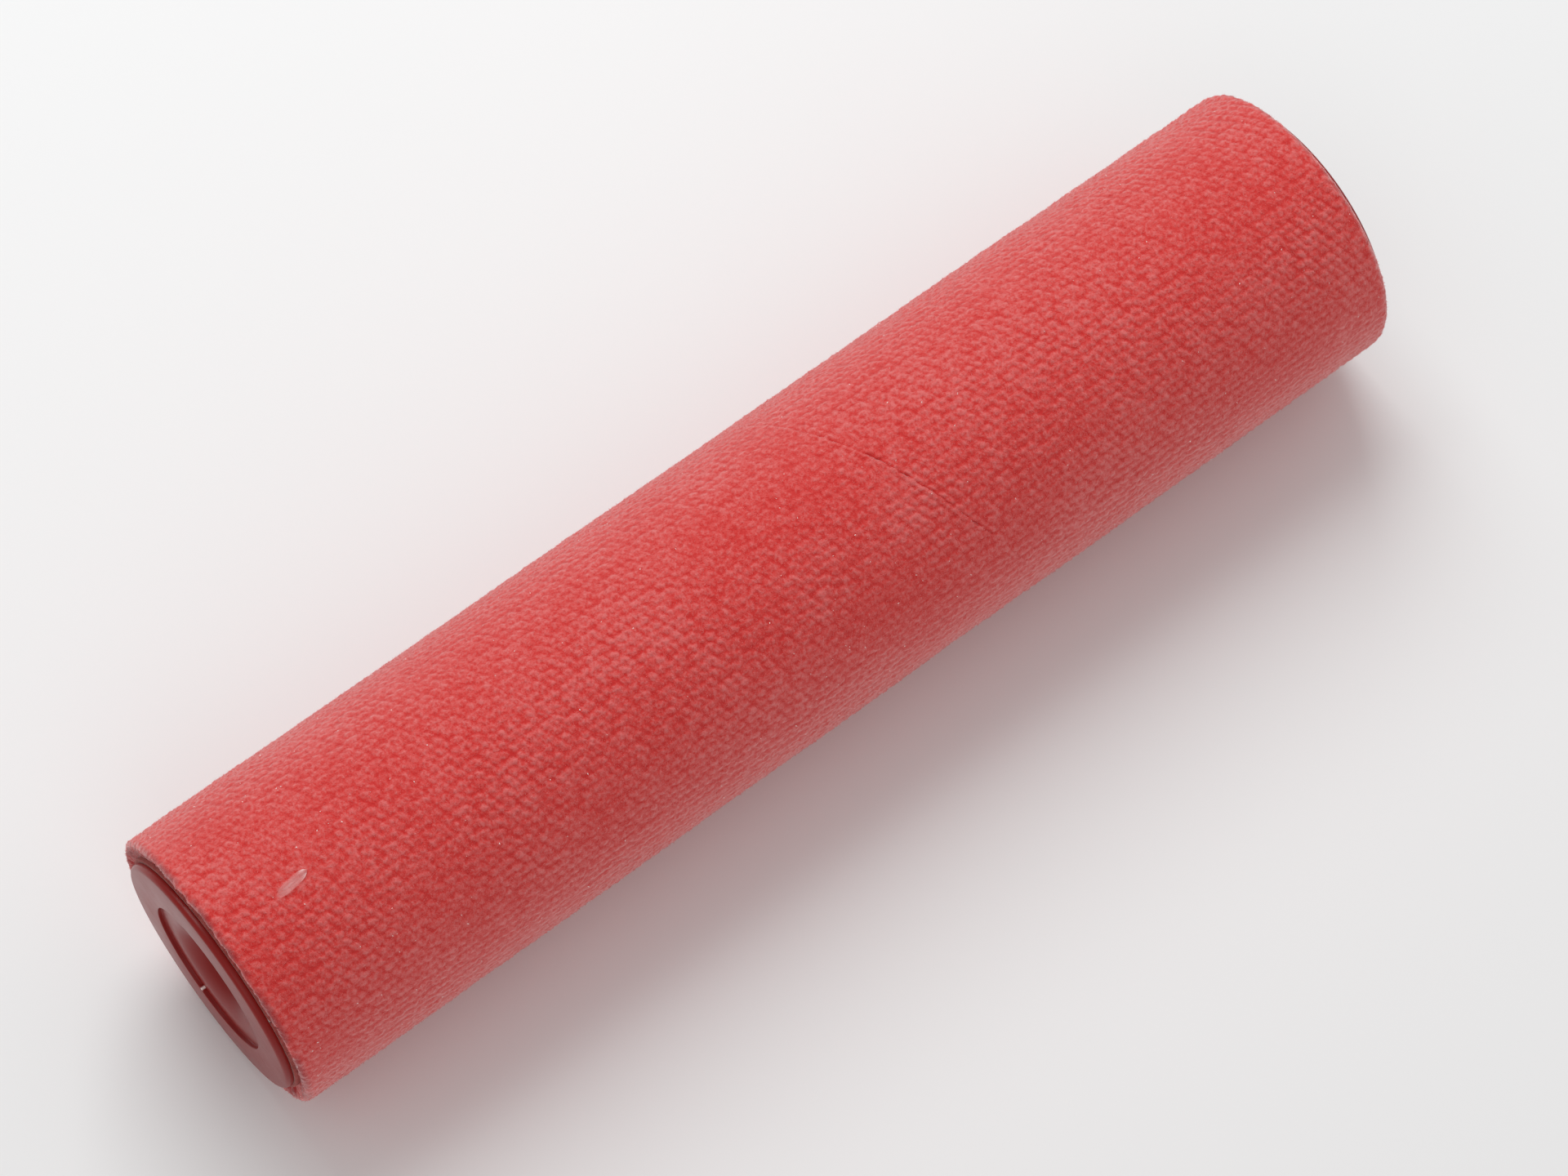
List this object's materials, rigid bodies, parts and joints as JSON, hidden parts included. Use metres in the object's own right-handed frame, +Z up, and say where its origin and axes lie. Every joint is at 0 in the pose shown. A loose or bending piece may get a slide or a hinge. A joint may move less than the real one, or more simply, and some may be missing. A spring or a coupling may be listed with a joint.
{
  "type": "paint roller",
  "caption": "Paint roller sleeve: short pile fabric cover on a wound plastic core, with pressed-in end caps whose snap-in bearings let it spin on a wire frame's axle.",
  "frame": {"origin": "middle of the roller, on its axis", "axes": "+Y along the roller's axis, from the near end to the far end; +Z up, with the roller lying on its side"},
  "size_m": [0.0564, 0.2532, 0.0564],
  "materials": {
    "pile_fabric": "short brushed velour pile",
    "core_plastic": "natural polypropylene strip, wound and fused",
    "cap_plastic": "smooth moulded polypropylene",
    "bearing_plastic": "natural nylon, as moulded"
  },
  "bodies": {
    "bearings": {"bearing_near": "bearing_plastic", "bearing_far": "bearing_plastic"},
    "roller": {"fabric_cover": "pile_fabric", "core_outer_ply": "core_plastic", "core_inner_ply": "core_plastic", "end_cap_near": "cap_plastic", "end_cap_far": "cap_plastic"}
  },
  "joints": [
    {"name": "roller_spin", "type": "hinge", "parent": "bearings", "child": "roller", "pos_m": [0, 0, 0], "axis": [0, 1, 0], "continuous": true}
  ]
}
